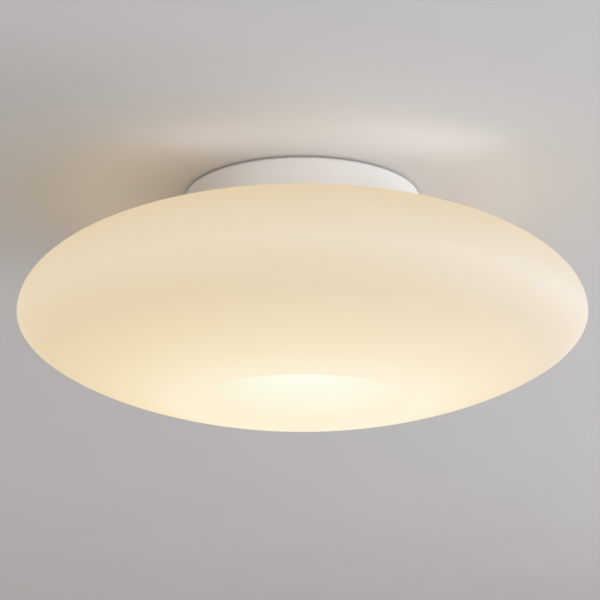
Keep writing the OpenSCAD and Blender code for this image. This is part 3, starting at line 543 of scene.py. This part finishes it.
def welded(node, name, material, bevel, sharp):
    """A copy of a node's mesh, its points merged, its sharp edges bevelled where asked and its round faces smooth"""

    def turns_more(edge):
        return edge.is_manifold and edge.calc_face_angle() > math.radians(sharp)

    def turns_less(edge):
        return edge.is_manifold and edge.calc_face_angle() < math.radians(sharp)

    shape = bmesh.new()
    shape.from_mesh(frame["nodes"][node].data)
    bmesh.ops.remove_doubles(shape, verts=shape.verts, dist=SAME_POINT)
    bmesh.ops.dissolve_degenerate(shape, edges=shape.edges, dist=SAME_POINT)
    if bevel:
        bmesh.ops.dissolve_limit(
            shape,
            angle_limit=math.radians(ONE_FLAT),
            verts=shape.verts,
            edges=shape.edges,
            delimit={"NORMAL"},
        )
        corners = [edge for edge in shape.edges if turns_more(edge)]
        bmesh.ops.bevel(
            shape,
            geom=corners,
            offset=bevel,
            segments=2,
            profile=0.5,
            affect="EDGES",
            material=-1,
            clamp_overlap=True,
        )
    for face in shape.faces:
        face.smooth = True
    for edge in shape.edges:
        edge.smooth = turns_less(edge)
    mesh = bpy.data.meshes.new(name)
    shape.to_mesh(mesh)
    shape.free()
    return piece(name, mesh, body_of_node(node), slot_of_node(node), material, node)


def refined(node, name, material, bevel=0.0):
    """A piece with sharp edges, whose flats stay flat beside its round faces"""
    made = welded(node, name, material, bevel, SHARP)
    flats = made.modifiers.new("Flats stay flat", "WEIGHTED_NORMAL")
    flats.mode = "FACE_AREA_WITH_ANGLE"
    flats.keep_sharp = True


def rounded_wire(node, name, material, radius):
    """A wire whose eight sides are rounded off, and which is swelled back to its full radius"""
    made = welded(node, name, material, 0.0, NEVER_SHARP)
    rounding = made.modifiers.new("Rounding", "SUBSURF")
    rounding.levels = 2
    rounding.render_levels = 2
    swelling = made.modifiers.new("Full radius", "DISPLACE")
    swelling.mid_level = 0.0
    swelling.strength = DRAWN_IN * radius


def dress(node, material):
    """Gives a node that stays as it is its finish"""
    for slot in frame["nodes"][node].material_slots:
        slot.material = material


def arc(x, z, radius, start, end, steps):
    angles = [math.radians(start + (end - start) * i / steps) for i in range(steps + 1)]
    return [(x + radius * math.cos(a), z + radius * math.sin(a)) for a in angles]


def glass_profile(sizes):
    """Half outline of the glass: up its outside from the foot, over the neck's edge and down its inside"""
    widest = glass_low.z + sizes.lower_depth

    def curve(radius, height, swell, start, end, steps):
        points = []
        for i in range(steps + 1):
            t = math.radians(start + (end - start) * i / steps)
            rise = height * math.sin(t) * (1 + swell * math.cos(t) ** 2)
            points.append((radius * math.cos(t), widest + rise))
        return points

    def level(radius, height, at):
        square = (at / radius) ** 2
        return widest + height * math.sqrt(1 - square) * (1 + sizes.upper_swell * square)

    inner = sizes.radius - sizes.wall
    inner_height = sizes.upper_height - sizes.wall
    neck = sizes.neck_radius
    fillet = sizes.neck_fillet
    shoulder = neck + fillet
    mouth = neck - sizes.wall + fillet
    edge = sizes.wall / 2
    shoulder_angle = math.degrees(math.acos(shoulder / sizes.radius))
    mouth_angle = math.degrees(math.acos(mouth / inner))
    outside = (
        curve(sizes.radius, -sizes.lower_depth, -sizes.lower_draw, 90, 0, 44)
        + curve(sizes.radius, sizes.upper_height, sizes.upper_swell, 2, shoulder_angle, 32)
        + arc(shoulder, level(sizes.radius, sizes.upper_height, shoulder) + fillet, fillet, 262, 180, 6)
    )
    rim = arc(neck - edge, glass_high.z - edge, edge, 0, 180, 8)
    inside = (
        arc(mouth, level(inner, inner_height, mouth) + fillet, fillet, 180, 262, 6)
        + curve(inner, inner_height, sizes.upper_swell, mouth_angle, 2, 30)
        + curve(inner, sizes.wall - sizes.lower_depth, -sizes.lower_draw, 0, 90, 40)
    )
    return outside + rim + inside


def turn_round(shape, outline, steps):
    """Spins an outline once round the light's upright axis, and closes it"""
    bmesh.ops.spin(
        shape, geom=outline, cent=(0, 0, 0), axis=(0, 0, 1), angle=2 * math.pi, steps=steps, use_merge=True
    )
    bmesh.ops.remove_doubles(shape, verts=shape.verts, dist=SAME_SPUN_POINT)


def spun(name, profile, steps):
    """A closed round shape, spun from its half outline"""
    shape = bmesh.new()
    points = [shape.verts.new((x, 0.0, z)) for x, z in profile]
    lines = [shape.edges.new(pair) for pair in zip(points, points[1:])]
    turn_round(shape, points + lines, steps)
    bmesh.ops.recalc_face_normals(shape, faces=shape.faces)
    for face in shape.faces:
        face.smooth = True
    mesh = bpy.data.meshes.new(name)
    shape.to_mesh(mesh)
    shape.free()
    return mesh


class MakeGlass(bpy.types.Operator):
    """Spin the opal glass and light it"""

    bl_idname = "ceiling_light.glass"
    bl_label = "Opal glass"

    def execute(self, context):
        scene = context.scene
        sizes = scene.light_glass
        mesh = spun("glass_bowl", glass_profile(sizes), sizes.steps)
        material = opal_glass(sizes, scene.light_glow, tuple(scene.light_finish.glass))
        piece("glass_bowl", mesh, "diffuser", "opal_glass", material, "glass_diffuser")
        return {"FINISHED"}


class MakeCanopy(bpy.types.Operator):
    """Make the canopy dish, the foam under the ceiling and the soft ring at the rim"""

    bl_idname = "ceiling_light.canopy"
    bl_label = "Canopy"

    def execute(self, context):
        paint = tuple(context.scene.light_finish.canopy)
        refined("canopy_shell", "canopy_dish", powder_coat("white_powder_coat", paint))
        refined("ceiling_gasket", "foam_ring", foam_rubber("pale_foam", (0.60, 0.58, 0.56)))
        refined("rim_seal", "rim_ring", soft_rubber("white_silicone", (0.74, 0.72, 0.68)))
        return {"FINISHED"}


class MakeInlet(bpy.types.Operator):
    """Make the rubber grommet of the cable inlet"""

    bl_idname = "ceiling_light.inlet"
    bl_label = "Cable inlet"

    def execute(self, context):
        refined("cable_grommet", "inlet_grommet", soft_rubber("black_rubber", BLACK_RUBBER))
        return {"FINISHED"}


class MakeCatches(bpy.types.Operator):
    """Make the springs that hold the glass and their rivets"""

    bl_idname = "ceiling_light.catches"
    bl_label = "Catches"

    def execute(self, context):
        steel = rolled_steel("spring_steel", (0.50, 0.50, 0.49), 0.26, (1.0, 1.0, 0.1))
        refined("catch_springs", "leaf_springs", steel)
        refined("spring_rivets", "leaf_rivets", zinc_plate("zinc_rivets"))
        return {"FINISHED"}


class MakeCollar(bpy.types.Operator):
    """Make the band round the glass neck, its strip, screw and nut"""

    bl_idname = "ceiling_light.collar"
    bl_label = "Collar"

    def execute(self, context):
        band = rolled_steel("band_steel", (0.58, 0.58, 0.57), 0.3)
        zinc = zinc_plate("zinc_band_fixings")
        refined("glass_collar", "neck_band", band)
        refined("neck_strip", "neck_cushion", soft_rubber("clear_silicone", (0.70, 0.69, 0.66)))
        refined("collar_screw", "band_screw", zinc)
        refined("collar_nut", "band_nut", zinc)
        return {"FINISHED"}


class MakeTray(bpy.types.Operator):
    """Make the gear tray, its pillars, screws and bush"""

    bl_idname = "ceiling_light.tray"
    bl_label = "Gear tray"

    def execute(self, context):
        paint = powder_coat("white_reflector", tuple(context.scene.light_finish.tray), 0.55)
        zinc = zinc_plate("zinc_tray_fixings")
        refined("gear_tray", "tray_plate", paint)
        refined("tray_pillars", "hex_pillars", zinc)
        refined("tray_screws", "tray_pan_screws", zinc)
        refined("tray_bush", "lead_bush", soft_rubber("black_bush", BLACK_RUBBER))
        return {"FINISHED"}


class MakeLightBoard(bpy.types.Operator):
    """Finish the light board with its packages, screws and connector"""

    bl_idname = "ceiling_light.light_board"
    bl_label = "Light board"

    def execute(self, context):
        refined("light_board", "led_board", light_board_mask("board_mask"))
        refined("light_packages", "led_packages", phosphor_package("phosphor"))
        refined("board_screws", "board_pan_screws", zinc_plate("zinc_board_screws"))
        nylon = moulded_plastic("connector_nylon", (0.86, 0.84, 0.76))
        refined("board_connector", "lead_connector", nylon, CONNECTOR_BEVEL)
        return {"FINISHED"}


class MakeDriver(bpy.types.Operator):
    """Finish the driver: case, cover, screws and what is inside"""

    bl_idname = "ceiling_light.driver"
    bl_label = "Driver"

    def execute(self, context):
        plastic = moulded_plastic("driver_plastic", (0.80, 0.80, 0.78))
        refined("driver_case", "driver_box", plastic, CASE_BEVEL)
        refined("driver_cover", "driver_lid", plastic, CASE_BEVEL)
        refined("driver_screws", "driver_pan_screws", zinc_plate("zinc_driver_screws"))
        dress("driver_circuit", circuit_laminate("circuit_green"))
        dress("driver_transformer", wound_core("ferrite_and_tape"))
        refined("driver_capacitors", "can_capacitors", capacitor_can("capacitor_sleeve"))
        return {"FINISHED"}


class MakeTerminals(bpy.types.Operator):
    """Finish the terminal block with its clamps and screws"""

    bl_idname = "ceiling_light.terminals"
    bl_label = "Terminal block"

    def execute(self, context):
        zinc = zinc_plate("zinc_terminal_screws")
        nylon = moulded_plastic("terminal_nylon", (0.82, 0.80, 0.70))
        refined("terminal_block", "supply_block", nylon, CASE_BEVEL)
        refined("terminal_clamps", "clamp_tubes", turned_brass("clamp_brass"))
        refined("clamp_screws", "clamp_grub_screws", zinc)
        refined("block_screws", "block_pan_screws", zinc)
        return {"FINISHED"}


class MakeEarthPoint(bpy.types.Operator):
    """Finish the earth stud with its washer, lug and nut"""

    bl_idname = "ceiling_light.earth_point"
    bl_label = "Earth point"

    def execute(self, context):
        zinc = zinc_plate("zinc_earth_fixings")
        refined("earth_stud", "stud", turned_brass("stud_brass"))
        refined("earth_washer", "stud_washer", zinc)
        refined("earth_lug", "stud_lug", zinc_plate("tinned_lug", (0.70, 0.69, 0.66)))
        refined("earth_nut", "stud_nut", zinc)
        return {"FINISHED"}


class MakeWires(bpy.types.Operator):
    """Round the wires off and give them their colours"""

    bl_idname = "ceiling_light.wires"
    bl_label = "Wires"

    def execute(self, context):
        colours = context.scene.light_finish
        brown = insulation("brown_insulation", tuple(colours.live))
        blue = insulation("blue_insulation", tuple(colours.neutral))
        striped = earth_insulation("striped_insulation", tuple(colours.earth))
        red = insulation("red_insulation", tuple(colours.positive))
        black = insulation("black_insulation", tuple(colours.negative))
        rounded_wire("live_wire", "wire_to_live", brown, SUPPLY_WIRE_RADIUS)
        rounded_wire("neutral_wire", "wire_to_neutral", blue, SUPPLY_WIRE_RADIUS)
        rounded_wire("earth_wire", "wire_to_earth", striped, SUPPLY_WIRE_RADIUS)
        rounded_wire("lamp_lead_positive", "lead_plus", red, LAMP_LEAD_RADIUS)
        rounded_wire("lamp_lead_negative", "lead_minus", black, LAMP_LEAD_RADIUS)
        return {"FINISHED"}


# Stage


def sheet(name, hole, reach, level, faces_down, material):
    """A large flat sheet that isn't part of the light, with a round hole in the middle"""
    shape = bmesh.new()
    ends = [shape.verts.new((x, 0.0, level)) for x in (hole, reach)]
    line = [shape.edges.new(ends)]
    turn_round(shape, ends + line, SHEET_STEPS)
    shape.normal_update()
    for face in shape.faces:
        if (face.normal.z < 0) != faces_down:
            face.normal_flip()
    mesh = bpy.data.meshes.new(name)
    shape.to_mesh(mesh)
    shape.free()
    mesh.materials.append(material)
    made = bpy.data.objects.new(name, mesh)
    bpy.context.scene.collection.objects.link(made)
    return made


def shade_painted_near_lamp(material, lamp, reach):
    """Painted shade: 1 far from a lamp and less within its reach, darkening the paint beside the lamp so that it
    doesn't burn out
    """
    inputs = {0: where(material), 1: lamp}
    away = add(material, "ShaderNodeVectorMath", inputs, operation="DISTANCE").outputs["Value"]
    return mapped(material, away, 0.0, reach, 0.0, 1.0)


def ceiling_paint(colour):
    """Matt ceiling paint, darkened near two lamps as painted shade, that is open from above, so that the light can
    also be seen from there
    """
    material = finish("ceiling_paint", colour, 0.9)
    cloud = mapped(material, noise(material, 2.2, 4.0), 0.35, 0.65, 0.0, 1.0)
    paint = blended(material, cloud, scaled(colour, 0.985), scaled(colour, 1.01))
    # Painted shade: the paint fades towards black near the Window and Key lamps, against their light
    for lamp, reach in ((WINDOW_PLACE, WINDOW_SHADE_REACH), (KEY_PLACE, KEY_SHADE_REACH)):
        paint = blended(material, shade_painted_near_lamp(material, lamp, reach), BLACK, paint)
    connect(material, paint, "Base Color")
    relief(material, noise(material, 260.0, 3.0), 0.0002, 0.25)
    shader_of(material).inputs["Specular IOR Level"].default_value = 0.2
    from_above = add(material, "ShaderNodeNewGeometry").outputs["Backfacing"]
    shadow = add(material, "ShaderNodeLightPath").outputs["Is Shadow Ray"]
    unseen = computed(material, "MAXIMUM", from_above, shadow)
    clear = add(material, "ShaderNodeBsdfTransparent").outputs["BSDF"]
    mix = add(material, "ShaderNodeMixShader", {0: unseen, 1: shader_of(material).outputs["BSDF"], 2: clear})
    output = material.node_tree.nodes["Material Output"]
    material.node_tree.links.new(mix.outputs["Shader"], output.inputs["Surface"])
    return material


def looked_at(owner):
    """1 where the camera or a gleam on metal or glass looks, 0 where light is gathered"""
    rays = add(owner, "ShaderNodeLightPath").outputs
    gleam = computed(owner, "MAXIMUM", rays["Is Glossy Ray"], rays["Is Transmission Ray"])
    return computed(owner, "MAXIMUM", rays["Is Camera Ray"], gleam)


def floor_paint(colour):
    """Floor paint that looks paler than the lamps make it, so that the floor matches the backdrop"""
    material = finish("floor_paint", colour, 0.8)
    coloured(material, noise(material, 1.5, 3.0), scaled(colour, 0.98), scaled(colour, 1.01))
    shader_of(material).inputs["Emission Color"].default_value = (*colour, 1.0)
    connect(material, mapped(material, looked_at(material), 0.0, 1.0, 0.0, FLOOR_LIFT), "Emission Strength")
    return material


def room_world(below, above):
    """Soft light from all around, with a plain pale background to the eye"""
    world = bpy.data.worlds.new("Room")
    world.use_nodes = True
    world.node_tree.nodes.clear()
    direction = add(world, "ShaderNodeTexCoord").outputs["Generated"]
    height = add(world, "ShaderNodeSeparateXYZ", {"Vector": direction}).outputs["Z"]
    strength = mapped(world, height, -HORIZON_BAND, HORIZON_BAND, below, above)
    light = add(world, "ShaderNodeBackground", {"Color": ROOM_COLOUR, "Strength": strength})
    backdrop = add(world, "ShaderNodeBackground", {"Color": BACKDROP_COLOUR})
    shaders = {0: looked_at(world), 1: light.outputs["Background"], 2: backdrop.outputs["Background"]}
    mix = add(world, "ShaderNodeMixShader", shaders)
    add(world, "ShaderNodeOutputWorld", {"Surface": mix.outputs["Shader"]})
    bpy.context.scene.world = world


def soft_light(name, place, target, width, height, power, colour, shape="RECTANGLE"):
    """A flat lamp that the camera doesn't see, turned to its target"""
    data = bpy.data.lights.new(name, "AREA")
    data.shape = shape
    data.size = width
    data.size_y = height
    data.energy = power
    data.color = colour
    lamp = bpy.data.objects.new(name, data)
    lamp.location = place
    lamp.rotation_euler = (Vector(target) - Vector(place)).to_track_quat("-Z", "Y").to_euler()
    lamp.visible_camera = False
    bpy.context.scene.collection.objects.link(lamp)


class MakeStage(bpy.types.Operator):
    """Make the ceiling, the floor, the lights and the camera"""

    bl_idname = "ceiling_light.stage"
    bl_label = "Stage"

    def execute(self, context):
        scene = context.scene
        stage = scene.light_stage
        hole = gasket_radius - HOLE_MARGIN
        sheet("ceiling", hole, CEILING_RADIUS, CEILING_LEVEL, True, ceiling_paint(tuple(stage.ceiling)))
        floor = sheet("floor", 0.0, FLOOR_RADIUS, -stage.room_depth, False, floor_paint(tuple(stage.floor)))
        floor.visible_diffuse = False
        floor.visible_shadow = False
        room_world(stage.light_below, stage.light_above)
        middle = (0.0, 0.0, glass_low.z + scene.light_glass.lower_depth)
        soft_light("Window", WINDOW_PLACE, middle, 1.8, 1.2, stage.window_power, (0.84, 0.90, 1.0))
        soft_light("Key", KEY_PLACE, middle, 1.2, 0.5, stage.key_power, (1.0, 0.93, 0.78))
        soft_light("Fill", FILL_PLACE, middle, 0.7, 0.5, stage.fill_power, (0.53, 0.75, 1.0))
        above = glass_high.z - LAMPS_UNDER_NECK
        upward_lights = (
            ("Spill", (0.0, 0.0, above), 0.42, 0.42, stage.spill_power, (1.0, 0.93, 0.92)),
            ("Wash", (0.0, -0.19, above - 0.015), 0.38, 0.19, stage.wash_power, (0.42, 0.57, 1.0)),
            ("Edge", (0.03, -0.135, above), 0.30, 0.07, stage.edge_power, (0.85, 0.91, 1.0)),
        )
        for name, place, width, height, power, colour in upward_lights:
            soft_light(name, place, (place[0], place[1], 1.0), width, height, power, colour, "ELLIPSE")

        data = bpy.data.cameras.new("Camera")
        data.sensor_width = 36.0
        data.lens = stage.lens
        camera = bpy.data.objects.new("Camera", data)
        back = stage.distance * math.cos(stage.elevation)
        below = stage.distance * math.sin(stage.elevation)
        camera.location = (0.0, -back, middle[2] - below)
        camera.rotation_euler = (math.pi / 2 + stage.elevation + stage.tilt, 0.0, stage.pan)
        scene.collection.objects.link(camera)
        scene.camera = camera
        scene.view_settings.view_transform = "Standard"
        return {"FINISHED"}


class LightPanel(bpy.types.Panel):
    """Lists the stage and the pieces of the light in the order in which they are made, and their settings"""

    bl_idname = "VIEW3D_PT_ceiling_light"
    bl_label = "Ceiling Light"
    bl_space_type = "VIEW_3D"
    bl_region_type = "UI"
    bl_category = "Ceiling Light"

    def draw(self, context):
        layout = self.layout
        for operator in OPERATORS:
            layout.operator(operator.bl_idname)
        for group in GROUPS:
            box = layout.box()
            settings = getattr(context.scene, group)
            for name in settings.__annotations__:
                box.prop(settings, name)


OPERATORS = (
    MakeStage,
    MakeGlass,
    MakeCanopy,
    MakeInlet,
    MakeCatches,
    MakeCollar,
    MakeTray,
    MakeLightBoard,
    MakeDriver,
    MakeTerminals,
    MakeEarthPoint,
    MakeWires,
)
GROUPS = {
    "light_glass": GlassSizes,
    "light_glow": GlowColours,
    "light_finish": FinishColours,
    "light_stage": StageSettings,
}


def register():
    for group in GROUPS.values():
        bpy.utils.register_class(group)
    for name, group in GROUPS.items():
        setattr(bpy.types.Scene, name, PointerProperty(type=group))
    for operator in OPERATORS:
        bpy.utils.register_class(operator)
    bpy.utils.register_class(LightPanel)


def unregister():
    bpy.utils.unregister_class(LightPanel)
    for operator in reversed(OPERATORS):
        bpy.utils.unregister_class(operator)
    for name in GROUPS:
        delattr(bpy.types.Scene, name)
    for group in reversed(GROUPS.values()):
        bpy.utils.unregister_class(group)


def main():
    register()
    bpy.ops.ceiling_light.stage()
    bpy.ops.ceiling_light.glass()
    bpy.ops.ceiling_light.canopy()
    bpy.ops.ceiling_light.inlet()
    bpy.ops.ceiling_light.catches()
    bpy.ops.ceiling_light.collar()
    bpy.ops.ceiling_light.tray()
    bpy.ops.ceiling_light.light_board()
    bpy.ops.ceiling_light.driver()
    bpy.ops.ceiling_light.terminals()
    bpy.ops.ceiling_light.earth_point()
    bpy.ops.ceiling_light.wires()


if __name__ == "__main__":
    main()
